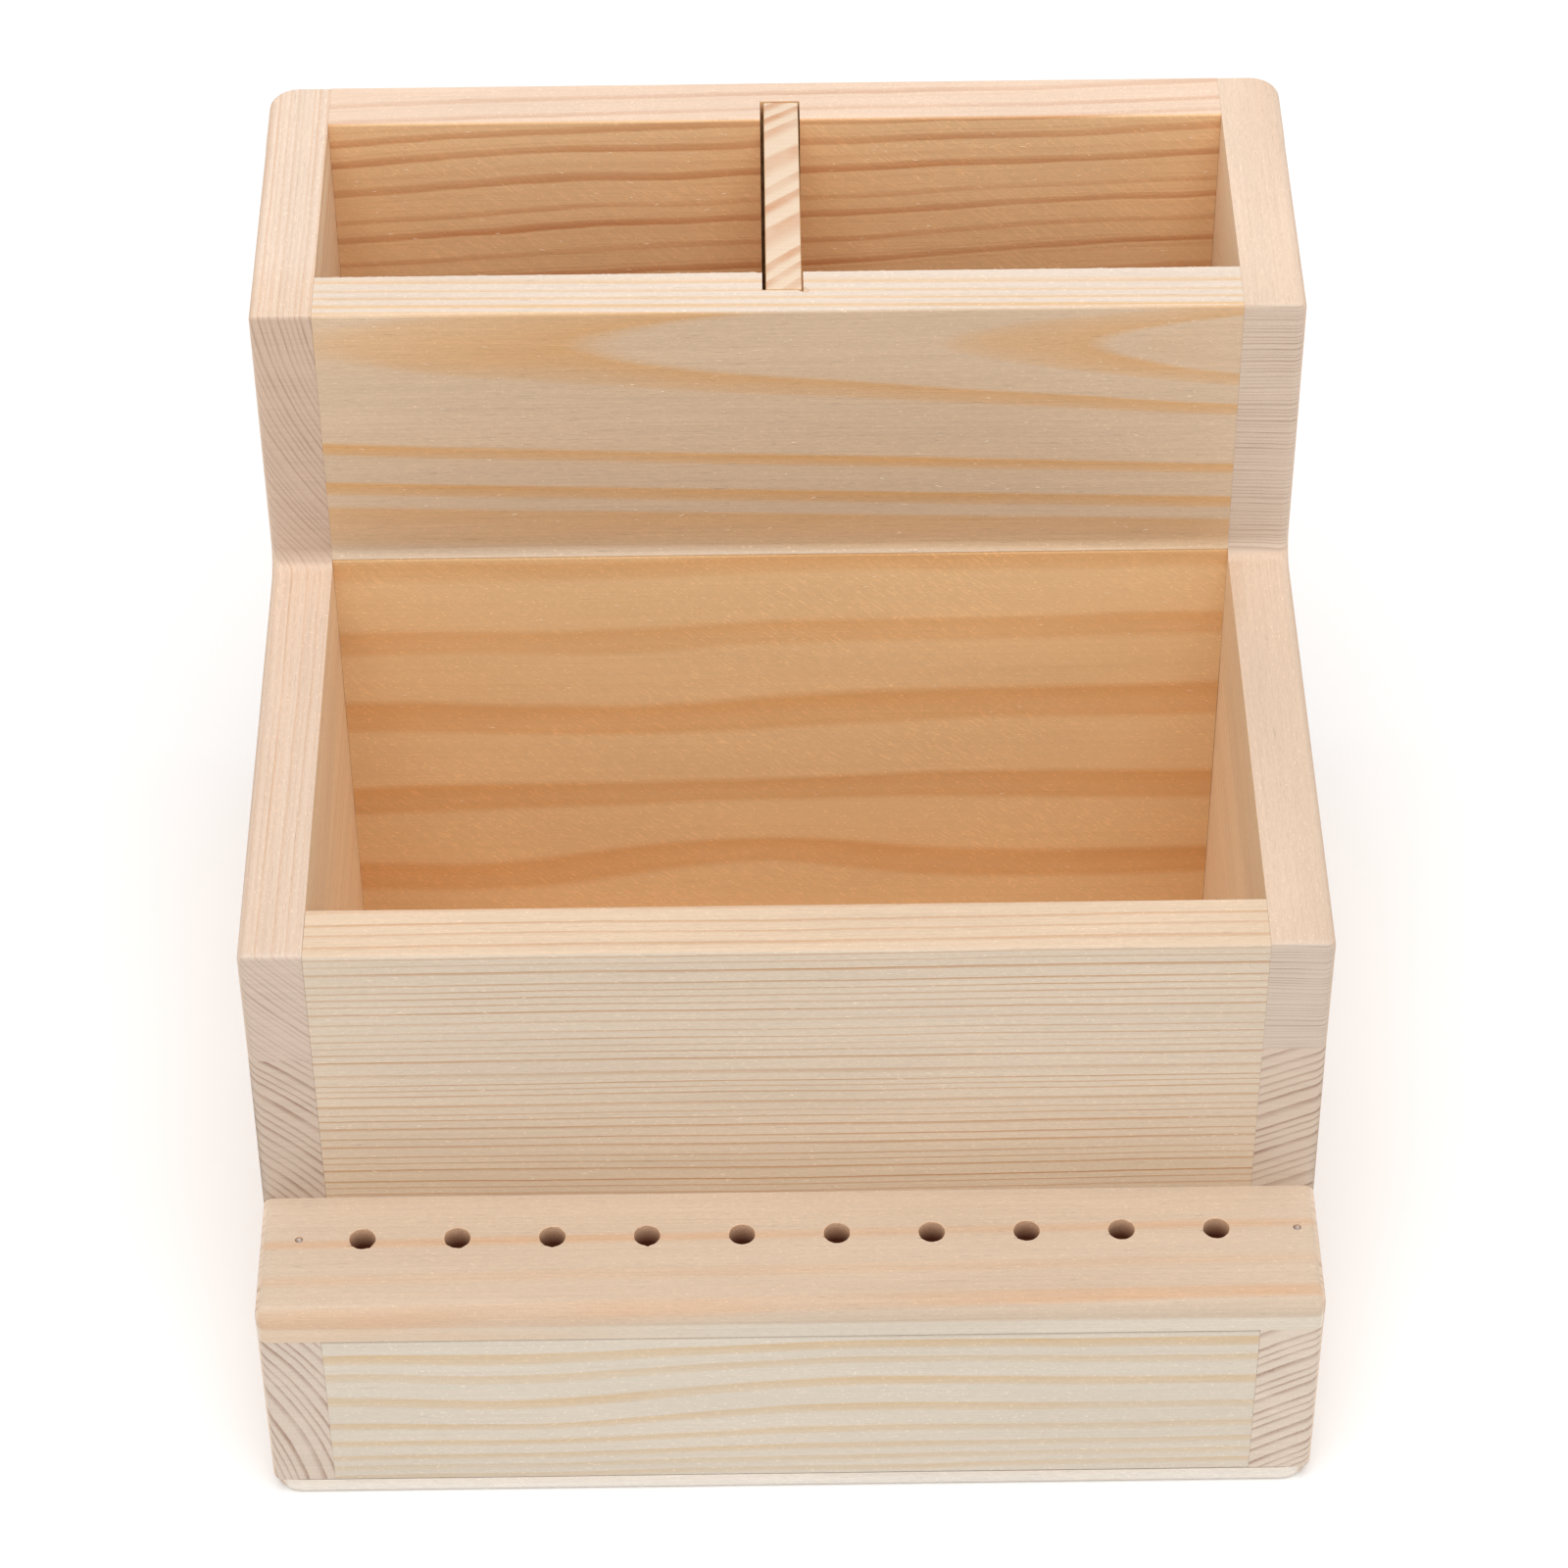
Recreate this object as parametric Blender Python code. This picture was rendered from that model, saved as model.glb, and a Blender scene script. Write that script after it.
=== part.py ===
"""Stepped pine tool caddy: two deep rear compartments, a tray and a front rail with ten tool holes.

Metres, +Z up, the front towards -Y. The origin is the middle of the underside.
"""

import math

import bmesh
import bpy
from mathutils import Matrix, Vector

# Overall size
WIDTH = 0.200
DEPTH = 0.210
HEIGHT = 0.180

# The three steps: how far each tier reaches forward from the back, and how high it stands
REAR_TIER_DEPTH = 0.0725
TRAY_TIER_DEPTH = 0.181
TRAY_TIER_HEIGHT = 0.1185
RAIL_TIER_HEIGHT = 0.053

# Timber
BOARD = 0.012
RAIL_THICKNESS = 0.008
BOTTOM_THICKNESS = 0.004
SEAM_HEIGHT = 0.091
GLUE_GAP = 0.0003

# Step machined across the middle wall and the side panels, with the cutter's own corner radius
STEP_RADIUS = 0.0035
STEP_SHOULDER = 0.0008

# Rounded edges
ARRIS_RADIUS = 0.002
BACK_CORNER_RADIUS = 0.005
RAIL_NOSE_RADIUS = 0.0035
BOTTOM_CORNER_RADIUS = 0.0055
BOTTOM_ARRIS_RADIUS = 0.0012

# Tool holes in the rail
HOLE_COUNT = 10
HOLE_DIAMETER = 0.005
HOLE_SPAN = 0.1612
HOLE_SETBACK = 0.0105
HOLE_SIDES = 24

# Lift-out divider and its grooves
DIVIDER_THICKNESS = 0.0068
DIVIDER_OFFSET = 0.0012
GROOVE_WIDTH = 0.0078
GROOVE_OFFSET = 0.0010
GROOVE_DEPTH = 0.0057

# Square-wire brads
BRAD_LENGTH = 0.025
BRAD_THICKNESS = 0.0011
BRAD_POINT = 0.002
BRAD_SET = 0.0002
BRAD_CLEARANCE = 0.0003
SIDE_BRAD_HEIGHTS = (0.024, 0.066, 0.108, 0.150)
BOTTOM_BRAD_DEPTHS = (0.036, 0.090, 0.145)
BOTTOM_BRAD_SPREAD = 0.050
RAIL_BRAD_X = {"left": -0.0926, "right": 0.0959}

# Two coordinates closer than this are the same
TOUCH = 1e-6

# Positions worked out from the sizes above
BACK_Y = DEPTH / 2
FRONT_Y = -DEPTH / 2
REAR_TIER_Y = BACK_Y - REAR_TIER_DEPTH
TRAY_TIER_Y = BACK_Y - TRAY_TIER_DEPTH
BASE_Z = BOTTOM_THICKNESS + GLUE_GAP
RAIL_SEAT_Z = RAIL_TIER_HEIGHT - RAIL_THICKNESS - GLUE_GAP
STEP_CENTRE = (REAR_TIER_Y - STEP_RADIUS, TRAY_TIER_HEIGHT + STEP_RADIUS)
MIDDLE_SEAM_Z = STEP_CENTRE[1] - math.sqrt(STEP_RADIUS**2 - (STEP_RADIUS - STEP_SHOULDER) ** 2)
SIDE_X = (WIDTH - BOARD) / 2
CROSS_WIDTH = WIDTH - 2 * BOARD - 2 * GLUE_GAP
HOLE_Y = TRAY_TIER_Y - HOLE_SETBACK

BARE_PINE = (0.80, 0.64, 0.46)
TAN_PINE = (0.72, 0.52, 0.31)
PALE_PINE = (0.82, 0.70, 0.53)
END_GRAIN_PINE = (0.76, 0.61, 0.47)
STEEL = (0.42, 0.38, 0.36)


def clear_scene():
    for obj in list(bpy.data.objects):
        bpy.data.objects.remove(obj, do_unlink=True)


def surface(name, colour, roughness=0.7, metallic=0.0):
    material = bpy.data.materials.new(name)
    material.use_nodes = True
    shader = material.node_tree.nodes["Principled BSDF"]
    shader.inputs["Base Color"].default_value = (*colour, 1.0)
    shader.inputs["Roughness"].default_value = roughness
    shader.inputs["Metallic"].default_value = metallic
    return material


def mesh_from(name, bm):
    bmesh.ops.recalc_face_normals(bm, faces=bm.faces)
    mesh = bpy.data.meshes.new(name)
    bm.to_mesh(mesh)
    bm.free()
    return mesh


def add_piece(name, mesh, material, location, parent):
    obj = bpy.data.objects.new(name, mesh)
    bpy.context.collection.objects.link(obj)
    obj.location = location
    obj.parent = parent
    if not mesh.materials:
        mesh.materials.append(material)
    return obj


def add_cutter(name, bm):
    obj = bpy.data.objects.new(name, mesh_from(name, bm))
    bpy.context.collection.objects.link(obj)
    obj.hide_render = True
    obj.display_type = "WIRE"
    return obj


def carve(obj, cutter):
    boolean = obj.modifiers.new(cutter.name, "BOOLEAN")
    boolean.operation = "DIFFERENCE"
    boolean.solver = "EXACT"
    boolean.object = cutter


def add_box(bm, low, high):
    size = Vector(high) - Vector(low)
    middle = (Vector(high) + Vector(low)) / 2
    matrix = Matrix.Translation(middle) @ Matrix.Diagonal((*size, 1.0))
    bmesh.ops.create_cube(bm, size=1.0, matrix=matrix)


def extrude_outline(outline, thickness):
    """A solid with its outline in the YZ plane, centred on X."""
    bm = bmesh.new()
    face = bm.faces.new([bm.verts.new((-thickness / 2, y, z)) for y, z in outline])
    grown = bmesh.ops.extrude_face_region(bm, geom=[face])
    moved = [item for item in grown["geom"] if isinstance(item, bmesh.types.BMVert)]
    bmesh.ops.translate(bm, verts=moved, vec=(thickness, 0.0, 0.0))
    return bm


def arc(centre, radius, start, end, steps):
    """Points of an arc in the YZ plane, with its angles in degrees from +Y towards +Z."""
    angles = [math.radians(start + (end - start) * step / steps) for step in range(steps + 1)]
    return [(centre[0] + radius * math.cos(a), centre[1] + radius * math.sin(a)) for a in angles]


def same(a, b):
    return abs(a - b) < TOUCH


def round_uprights(bm, radius, at_corner):
    """Round the upright edges whose ends both satisfy at_corner."""
    upright = [edge for edge in bm.edges if not same(edge.verts[0].co.z, edge.verts[1].co.z)]
    edges = [edge for edge in upright if all(at_corner(vert.co) for vert in edge.verts)]
    bmesh.ops.bevel(bm, geom=edges, offset=radius, segments=4, profile=0.5, affect="EDGES")


def mark_radii(bm, radius_of, largest):
    """Store each edge's radius as a bevel weight. radius_of reads the edge's two end points."""
    weights = bm.edges.layers.float.new("bevel_weight_edge")
    for edge in bm.edges:
        edge[weights] = radius_of(edge.verts[0].co, edge.verts[1].co) / largest


def soften(obj, largest, segments):
    bevel = obj.modifiers.new("rounded_edges", "BEVEL")
    bevel.limit_method = "WEIGHT"
    bevel.width = largest
    bevel.segments = segments
    bevel.use_clamp_overlap = False


def lower_side_outline():
    """Side view of the lower plank: full depth below the rail, then back to the tray step."""
    return [
        (BACK_Y, BASE_Z),
        (BACK_Y, SEAM_HEIGHT),
        (TRAY_TIER_Y, SEAM_HEIGHT),
        (TRAY_TIER_Y, RAIL_SEAT_Z),
        (FRONT_Y, RAIL_SEAT_Z),
        (FRONT_Y, BASE_Z),
    ]


def upper_side_outline():
    """Side view of the upper plank: the tray step with its coved corner, and the rear tier."""
    cove = arc(STEP_CENTRE, STEP_RADIUS, -90, 0, 5)
    return [
        (BACK_Y, SEAM_HEIGHT + GLUE_GAP),
        (TRAY_TIER_Y, SEAM_HEIGHT + GLUE_GAP),
        (TRAY_TIER_Y, TRAY_TIER_HEIGHT),
        *cove,
        (REAR_TIER_Y, HEIGHT),
        (BACK_Y, HEIGHT),
    ]


def side_plank(name, outline, glued_heights, direction, material, root):
    """Round the plank's back corner and its outer arrises, but not its glued edges."""
    outer_x = direction * BOARD / 2
    corner_x = outer_x - direction * BACK_CORNER_RADIUS
    corner_y = BACK_Y - BACK_CORNER_RADIUS

    def in_back_corner(point):
        return point.y > corner_y - TOUCH and (point.x - corner_x) * direction > -TOUCH

    def radius_of(a, b):
        level = same(a.z, b.z)
        if level and any(same(a.z, z) for z in glued_heights):
            return 0.0
        if in_back_corner(a) and in_back_corner(b):
            return ARRIS_RADIUS if level else 0.0
        return ARRIS_RADIUS if same(a.x, outer_x) and same(b.x, outer_x) else 0.0

    bm = extrude_outline(outline, BOARD)
    round_uprights(bm, BACK_CORNER_RADIUS, lambda point: same(point.x, outer_x) and same(point.y, BACK_Y))
    mark_radii(bm, radius_of, ARRIS_RADIUS)
    plank = add_piece(name, mesh_from(name, bm), material, (direction * SIDE_X, 0, 0), root)
    soften(plank, ARRIS_RADIUS, 3)
    return plank


def build_side_panels(root, material):
    lower_glued = (BASE_Z, RAIL_SEAT_Z, SEAM_HEIGHT)
    upper_glued = (SEAM_HEIGHT + GLUE_GAP,)
    pieces = []
    for side, direction in (("left", -1), ("right", 1)):
        lower = f"{side}_side_lower_plank"
        upper = f"{side}_side_upper_plank"
        pieces.append(side_plank(lower, lower_side_outline(), lower_glued, direction, material, root))
        pieces.append(side_plank(upper, upper_side_outline(), upper_glued, direction, material, root))
    return pieces


def cross_board(name, front_y, low, high, material, root, thickness=BOARD):
    """A board between the side panels, its origin at the middle of its lower back edge."""
    bm = bmesh.new()
    add_box(bm, (-CROSS_WIDTH / 2, -thickness, 0), (CROSS_WIDTH / 2, 0, high - low))
    return add_piece(name, mesh_from(name, bm), material, (0, front_y + thickness, low), root)


def build_back_wall(root, material):
    front_y = BACK_Y - BOARD
    lower = cross_board("back_wall_lower_plank", front_y, BASE_Z, SEAM_HEIGHT, material, root)
    upper_low = SEAM_HEIGHT + GLUE_GAP
    upper = cross_board("back_wall_upper_plank", front_y, upper_low, HEIGHT, material, root)
    return [lower, upper]


def build_middle_wall(root, lower_material, upper_material):
    """The lower plank stands proud of the machined step, and the upper one starts with the cutter's cove."""
    proud_y = REAR_TIER_Y - STEP_SHOULDER
    thickness = BOARD + STEP_SHOULDER
    lower = cross_board(
        "middle_wall_lower_plank", proud_y, BASE_Z, MIDDLE_SEAM_Z, lower_material, root, thickness
    )
    foot_z = MIDDLE_SEAM_Z + GLUE_GAP
    foot_angle = math.degrees(math.asin((foot_z - STEP_CENTRE[1]) / STEP_RADIUS))
    cove = arc(STEP_CENTRE, STEP_RADIUS, foot_angle, 0, 4)
    back_y = REAR_TIER_Y + BOARD
    outline = [(back_y, foot_z), *cove, (REAR_TIER_Y, HEIGHT), (back_y, HEIGHT)]
    name = "middle_wall_upper_plank"
    mesh = mesh_from(name, extrude_outline(outline, CROSS_WIDTH))
    return [lower, add_piece(name, mesh, upper_material, (0, 0, 0), root)]


def build_tray_front_wall(root, material):
    return cross_board("tray_front_wall", TRAY_TIER_Y, BASE_Z, TRAY_TIER_HEIGHT, material, root)


def build_front_board(root, material):
    return cross_board("front_board", FRONT_Y, BASE_Z, RAIL_SEAT_Z, material, root)


def build_holed_rail(root, material):
    """The front step's top board, laid over the side panels, with a rounded nose and ends."""

    def radius_of(a, b):
        in_front = same(a.y, 0) and same(b.y, 0)
        on_top = same(a.z, RAIL_THICKNESS) and same(b.z, RAIL_THICKNESS)
        at_end = same(a.x, b.x)
        if in_front and on_top:
            return RAIL_NOSE_RADIUS
        return ARRIS_RADIUS if at_end and (in_front or on_top) else 0.0

    name = "holed_rail"
    bm = bmesh.new()
    add_box(bm, (-WIDTH / 2, 0, 0), (WIDTH / 2, TRAY_TIER_Y - GLUE_GAP - FRONT_Y, RAIL_THICKNESS))
    mark_radii(bm, radius_of, RAIL_NOSE_RADIUS)
    location = (0, FRONT_Y, RAIL_TIER_HEIGHT - RAIL_THICKNESS)
    rail = add_piece(name, mesh_from(name, bm), material, location, root)
    soften(rail, RAIL_NOSE_RADIUS, 5)
    return rail


def build_bottom_board(root, material):
    """A thin board under everything, round at its corners and softened along its lower edge."""

    def radius_of(a, b):
        return BOTTOM_ARRIS_RADIUS if same(a.z, 0) and same(b.z, 0) else 0.0

    name = "bottom_board"
    bm = bmesh.new()
    add_box(bm, (-WIDTH / 2, FRONT_Y, 0), (WIDTH / 2, BACK_Y, BOTTOM_THICKNESS))
    round_uprights(bm, BOTTOM_CORNER_RADIUS, lambda point: True)
    mark_radii(bm, radius_of, BOTTOM_ARRIS_RADIUS)
    board = add_piece(name, mesh_from(name, bm), material, (0, 0, 0), root)
    soften(board, BOTTOM_ARRIS_RADIUS, 2)
    return board


def build_divider(root, material):
    """A loose board with upright grain, standing in the grooves of the back wall and the middle wall."""
    back_y = BACK_Y - BOARD + GROOVE_DEPTH - GLUE_GAP
    front_y = REAR_TIER_Y + BOARD - GROOVE_DEPTH + GLUE_GAP
    bm = bmesh.new()
    half = DIVIDER_THICKNESS / 2
    add_box(bm, (-half, (front_y - back_y) / 2, 0), (half, (back_y - front_y) / 2, HEIGHT - BASE_Z))
    location = (DIVIDER_OFFSET, (front_y + back_y) / 2, BASE_Z)
    return add_piece("divider", mesh_from("divider", bm), material, location, root)


def groove_cutter():
    """One bar that opens both grooves, from below the boards to above their rims."""
    low = (GROOVE_OFFSET - GROOVE_WIDTH / 2, REAR_TIER_Y + BOARD - GROOVE_DEPTH, -0.01)
    high = (GROOVE_OFFSET + GROOVE_WIDTH / 2, BACK_Y - BOARD + GROOVE_DEPTH, HEIGHT + 0.01)
    bm = bmesh.new()
    add_box(bm, low, high)
    return add_cutter("groove_cutter", bm)


def tool_hole_cutter():
    bm = bmesh.new()
    for index in range(HOLE_COUNT):
        x = HOLE_SPAN * (index / (HOLE_COUNT - 1) - 0.5)
        matrix = Matrix.Translation((x, HOLE_Y, RAIL_TIER_HEIGHT - RAIL_THICKNESS / 2))
        bmesh.ops.create_cone(
            bm,
            cap_ends=True,
            segments=HOLE_SIDES,
            radius1=HOLE_DIAMETER / 2,
            radius2=HOLE_DIAMETER / 2,
            depth=RAIL_THICKNESS * 1.5,
            matrix=matrix,
        )
    return add_cutter("tool_hole_cutter", bm)


def add_bar(bm, sections, matrix):
    """A square bar along local -Z through (distance, half width) sections."""
    rings = []
    for distance, half in sections:
        corners = ((-half, -half), (half, -half), (half, half), (-half, half))
        rings.append([bm.verts.new(matrix @ Vector((x, y, -distance))) for x, y in corners])
    for near, far in zip(rings, rings[1:]):
        for index in range(4):
            following = (index + 1) % 4
            bm.faces.new((near[index], near[following], far[following], far[index]))
    bm.faces.new(rings[0])
    bm.faces.new(reversed(rings[-1]))


def brad_places():
    """Name, head position and rotation of every brad. A brad points along its own -Z."""
    places = {}
    head_x = WIDTH / 2 - BRAD_SET
    boards = {
        "back": (BACK_Y - BOARD / 2, HEIGHT),
        "middle": (REAR_TIER_Y + BOARD / 2, HEIGHT),
        "tray": (TRAY_TIER_Y + BOARD / 2, TRAY_TIER_HEIGHT),
        "front": (FRONT_Y + BOARD / 2, RAIL_SEAT_Z),
    }
    for side, direction in (("left", -1), ("right", 1)):
        turn = Matrix.Rotation(direction * math.pi / 2, 4, "Y")
        for board, (y, top) in boards.items():
            heights = [z for z in SIDE_BRAD_HEIGHTS if z < top - 0.01]
            for number, z in enumerate(heights, 1):
                places[f"{side}_side_brad_{board}_{number}"] = ((direction * head_x, y, z), turn)
        for number, depth in enumerate(BOTTOM_BRAD_DEPTHS, 1):
            upward = Matrix.Rotation(math.pi, 4, "X")
            place = (direction * SIDE_X, BACK_Y - depth, BRAD_SET)
            places[f"bottom_brad_{side}_{number}"] = (place, upward)
        for board in ("back", "front"):
            place = (direction * BOTTOM_BRAD_SPREAD, boards[board][0], BRAD_SET)
            places[f"bottom_brad_{board}_{side}"] = (place, upward)
        place = (RAIL_BRAD_X[side], HOLE_Y, RAIL_TIER_HEIGHT - BRAD_SET)
        places[f"rail_brad_{side}"] = (place, Matrix.Identity(4))
    return places


def build_brads(root, material):
    half = BRAD_THICKNESS / 2
    bm = bmesh.new()
    add_bar(bm, [(0, half), (BRAD_LENGTH - BRAD_POINT, half), (BRAD_LENGTH, half / 4)], Matrix.Identity(4))
    mesh = mesh_from("brad", bm)
    for name, (place, turn) in brad_places().items():
        brad = add_piece(name, mesh, material, place, root)
        brad.rotation_euler = turn.to_euler()


def brad_hole_cutter():
    half = BRAD_THICKNESS / 2 + BRAD_CLEARANCE
    bm = bmesh.new()
    for place, turn in brad_places().values():
        add_bar(bm, [(-0.002, half), (BRAD_LENGTH + BRAD_CLEARANCE, half)], Matrix.Translation(place) @ turn)
    return add_cutter("brad_hole_cutter", bm)


def main():
    clear_scene()
    root = bpy.data.objects.new("caddy", None)
    bpy.context.collection.objects.link(root)

    side_material = surface("side_pine", BARE_PINE)
    tan_material = surface("tan_pine", TAN_PINE)
    pale_material = surface("pale_pine", PALE_PINE)
    end_material = surface("end_grain_pine", END_GRAIN_PINE)
    steel = surface("brad_steel", STEEL, roughness=0.35, metallic=1.0)

    sides = build_side_panels(root, side_material)
    back_wall = build_back_wall(root, tan_material)
    middle_wall = build_middle_wall(root, tan_material, pale_material)
    tray_front = build_tray_front_wall(root, pale_material)
    front = build_front_board(root, pale_material)
    rail = build_holed_rail(root, side_material)
    bottom = build_bottom_board(root, pale_material)
    build_divider(root, end_material)
    build_brads(root, steel)

    grooves = groove_cutter()
    for board in back_wall + middle_wall:
        carve(board, grooves)
    carve(rail, tool_hole_cutter())
    brad_holes = brad_hole_cutter()
    for board in sides + back_wall + middle_wall + [tray_front, front, rail, bottom]:
        carve(board, brad_holes)


main()
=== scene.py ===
"""Stepped pine tool caddy: detailed boards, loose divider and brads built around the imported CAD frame.

Lengths are in metres, in the frame's own axes: +Z up, the front towards -Y. Inside the materials
the coordinates are in millimetres.
"""

import math
import random

import bmesh
import bpy
from mathutils import Matrix, Vector, noise


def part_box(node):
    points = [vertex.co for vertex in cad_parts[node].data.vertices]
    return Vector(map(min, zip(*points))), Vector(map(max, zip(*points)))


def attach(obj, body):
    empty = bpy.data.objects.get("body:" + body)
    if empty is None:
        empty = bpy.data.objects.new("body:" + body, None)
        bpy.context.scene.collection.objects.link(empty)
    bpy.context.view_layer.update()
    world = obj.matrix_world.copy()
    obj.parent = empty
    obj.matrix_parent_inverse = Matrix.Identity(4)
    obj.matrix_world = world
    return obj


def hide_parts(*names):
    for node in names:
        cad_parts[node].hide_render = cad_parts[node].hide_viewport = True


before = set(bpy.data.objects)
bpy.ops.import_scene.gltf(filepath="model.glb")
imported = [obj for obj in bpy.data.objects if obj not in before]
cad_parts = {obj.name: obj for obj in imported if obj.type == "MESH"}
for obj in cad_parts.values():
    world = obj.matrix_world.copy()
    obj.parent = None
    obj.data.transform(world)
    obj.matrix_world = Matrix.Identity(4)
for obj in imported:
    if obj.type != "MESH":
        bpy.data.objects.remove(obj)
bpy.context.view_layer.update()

MM = 0.001

# Design sizes shared with the CAD, where a node's box doesn't give them
STEP_RADIUS = 3.5 * MM
ARRIS_RADIUS = 2.0 * MM
BACK_CORNER_RADIUS = 5.0 * MM
RAIL_NOSE_RADIUS = 3.5 * MM
BOTTOM_CORNER_RADIUS = 5.5 * MM
BOTTOM_ARRIS_RADIUS = 1.2 * MM
HOLE_COUNT = 10
HOLE_RADIUS = 2.5 * MM
HOLE_SPAN = 161.2 * MM
HOLE_SETBACK = 10.5 * MM
GROOVE_LOW_X = -2.9 * MM
GROOVE_HIGH_X = 4.9 * MM
GROOVE_DEPTH = 5.7 * MM

# What the finished joinery looks like. A board is sliced so that its long edges can waver
GLUE_LINE = 0.02 * MM
EASED_EDGE = 0.35 * MM
RIM_EDGE = 0.8 * MM
SLICE = 9.0 * MM
SLICE_CLEARANCE = 4.5 * MM
HAND_FINISH = 0.07 * MM
HOLE_CHAMFER = 0.08 * MM
BRAD_HALF = 0.55 * MM
BRAD_HOLE_RADIUS = 0.7 * MM
CORNER_SEGMENTS = 6
COVE_STEPS = 8
TOUCH = 1e-6

# A colour ramp holds 32 stops and a band takes up to 4 of them
BANDS_PER_RAMP = 6

# Boards that the visual meshes are built from
LEFT_LOW, LEFT_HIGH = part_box("left_side_lower_plank")
RIGHT_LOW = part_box("right_side_lower_plank")[0]
TRAY_LOW, TRAY_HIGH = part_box("tray_front_wall")
BACK_LOW, BACK_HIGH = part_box("back_wall_upper_plank")
MIDDLE_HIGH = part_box("middle_wall_upper_plank")[1]
RAIL_LOW, RAIL_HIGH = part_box("holed_rail")
BOARD = TRAY_HIGH.y - TRAY_LOW.y
REAR_TIER_Y = MIDDLE_HIGH.y - BOARD
STEP_CENTRE = (REAR_TIER_Y - STEP_RADIUS, TRAY_HIGH.z + STEP_RADIUS)
HOLE_Y = TRAY_LOW.y - HOLE_SETBACK
SIDE_FOOT_Z = LEFT_LOW.z - 3 * GLUE_LINE
UPPER_FOOT_Z = LEFT_HIGH.z + GLUE_LINE
RAIL_SEAT_Z = RAIL_LOW.z - GLUE_LINE


def srgb(red, green, blue):
    """A display colour, 0 to 255, as a linear RGBA colour."""

    def linear(value):
        value /= 255
        return value / 12.92 if value <= 0.04045 else ((value + 0.055) / 1.055) ** 2.4

    return (linear(red), linear(green), linear(blue), 1.0)


# ---------------------------------------------------------------- materials


class Graph:
    """Builds one material's nodes. A value may be a number, a tuple or another node's output."""

    def __init__(self, name):
        self.material = bpy.data.materials.new(name)
        self.material.use_nodes = True
        self.tree = self.material.node_tree
        self.shader = self.tree.nodes["Principled BSDF"]

    def put(self, socket, value):
        if isinstance(value, bpy.types.NodeSocket):
            self.tree.links.new(value, socket)
        else:
            socket.default_value = value

    def add(self, kind, inputs=None, **settings):
        node = self.tree.nodes.new(kind)
        for key, value in settings.items():
            setattr(node, key, value)
        for key, value in (inputs or {}).items():
            self.put(node.inputs[key], value)
        return node

    def math(self, operation, *values):
        node = self.add("ShaderNodeMath", operation=operation)
        for socket, value in zip(node.inputs, values):
            self.put(socket, value)
        return node.outputs["Value"]

    def vector(self, operation, *values):
        node = self.add("ShaderNodeVectorMath", operation=operation)
        for socket, value in zip(node.inputs, values):
            self.put(socket, value)
        single = operation in ("LENGTH", "DOT_PRODUCT")
        return node.outputs["Value" if single else "Vector"]

    def noise(self, coords, scale, detail=2.0, roughness=0.5, shift=0.0, output="Fac"):
        """Noise over coords stretched by a scale for each axis."""
        stretched = self.vector("MULTIPLY", coords, scale)
        if shift:
            stretched = self.vector("ADD", stretched, (shift, shift * 1.7, shift * 2.3))
        inputs = {"Vector": stretched, "Scale": 1.0, "Detail": detail, "Roughness": roughness}
        return self.add("ShaderNodeTexNoise", inputs).outputs[output]

    def between(self, value, low, high, out_low=0.0, out_high=1.0, smooth=False):
        inputs = {"Value": value, "From Min": low, "From Max": high, "To Min": out_low, "To Max": out_high}
        kind = "SMOOTHSTEP" if smooth else "LINEAR"
        return self.add("ShaderNodeMapRange", inputs, interpolation_type=kind).outputs["Result"]

    def ramp(self, value, stops, interpolation="LINEAR"):
        """A grey ramp through (position, level) stops."""
        node = self.add("ShaderNodeValToRGB", {"Fac": value})
        node.color_ramp.interpolation = interpolation
        elements = node.color_ramp.elements
        while len(elements) < len(stops):
            elements.new(0.5)
        for element, (position, _) in zip(elements, stops):
            element.position = position
        for element, (_, level) in zip(elements, stops):
            element.color = (level, level, level, 1.0)
        return node.outputs["Color"]

    def mix(self, factor, first, second, blend="MIX"):
        node = self.add("ShaderNodeMix", data_type="RGBA", blend_type=blend)
        self.put(node.inputs["Factor"], factor)
        self.put(node.inputs[6], first)
        self.put(node.inputs[7], second)
        return node.outputs[2]

    def shade(self, colour, factor):
        """The colour made lighter or darker by a plain number's worth of factor."""
        level = self.add("ShaderNodeCombineXYZ", {"X": factor, "Y": factor, "Z": factor}).outputs[0]
        return self.vector("MULTIPLY", colour, level)


# A plain board. axis is the one that the grain runs along. pith is the tree's centre across it, in
# mm, and drift its lean. spacing is one year's width, and wave, faint and steady vary the rings.
# rings, top_rings and end_rings are their strength on long faces, on top and on the ends. bands
# and swells are listed one by one. fibre, flecks and hatch are fine texture. A row of tints (by how
# a face points) or of zones (by place, in mm) is (axis, start, finish, colour to multiply in).
# The tints by facing paint light and shade into the colour; most zones paint light and shade over parts of a
# board.
BASE_WOOD = {
    "drift": (0.0, 0.0),
    "spacing": 2.6,
    "thin": False,
    "wave": 0.6,
    "faint": 0.25,
    "steady": 0.45,
    "rings": 0.6,
    "top_rings": 0.0,
    "top_late": 1.0,
    "end_rings": 0.8,
    "end_wide": False,
    "bands": (),
    "swells": (),
    "fibre": 1.0,
    "flecks": 1.0,
    "hatch": 0.5,
    "tints": (),
    "zones": (),
    "seed": 0.0,
    "early": srgb(236, 206, 178),
    "late": srgb(206, 146, 88),
    "end_early": srgb(224, 200, 178),
    "end_late": srgb(158, 112, 80),
}

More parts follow.
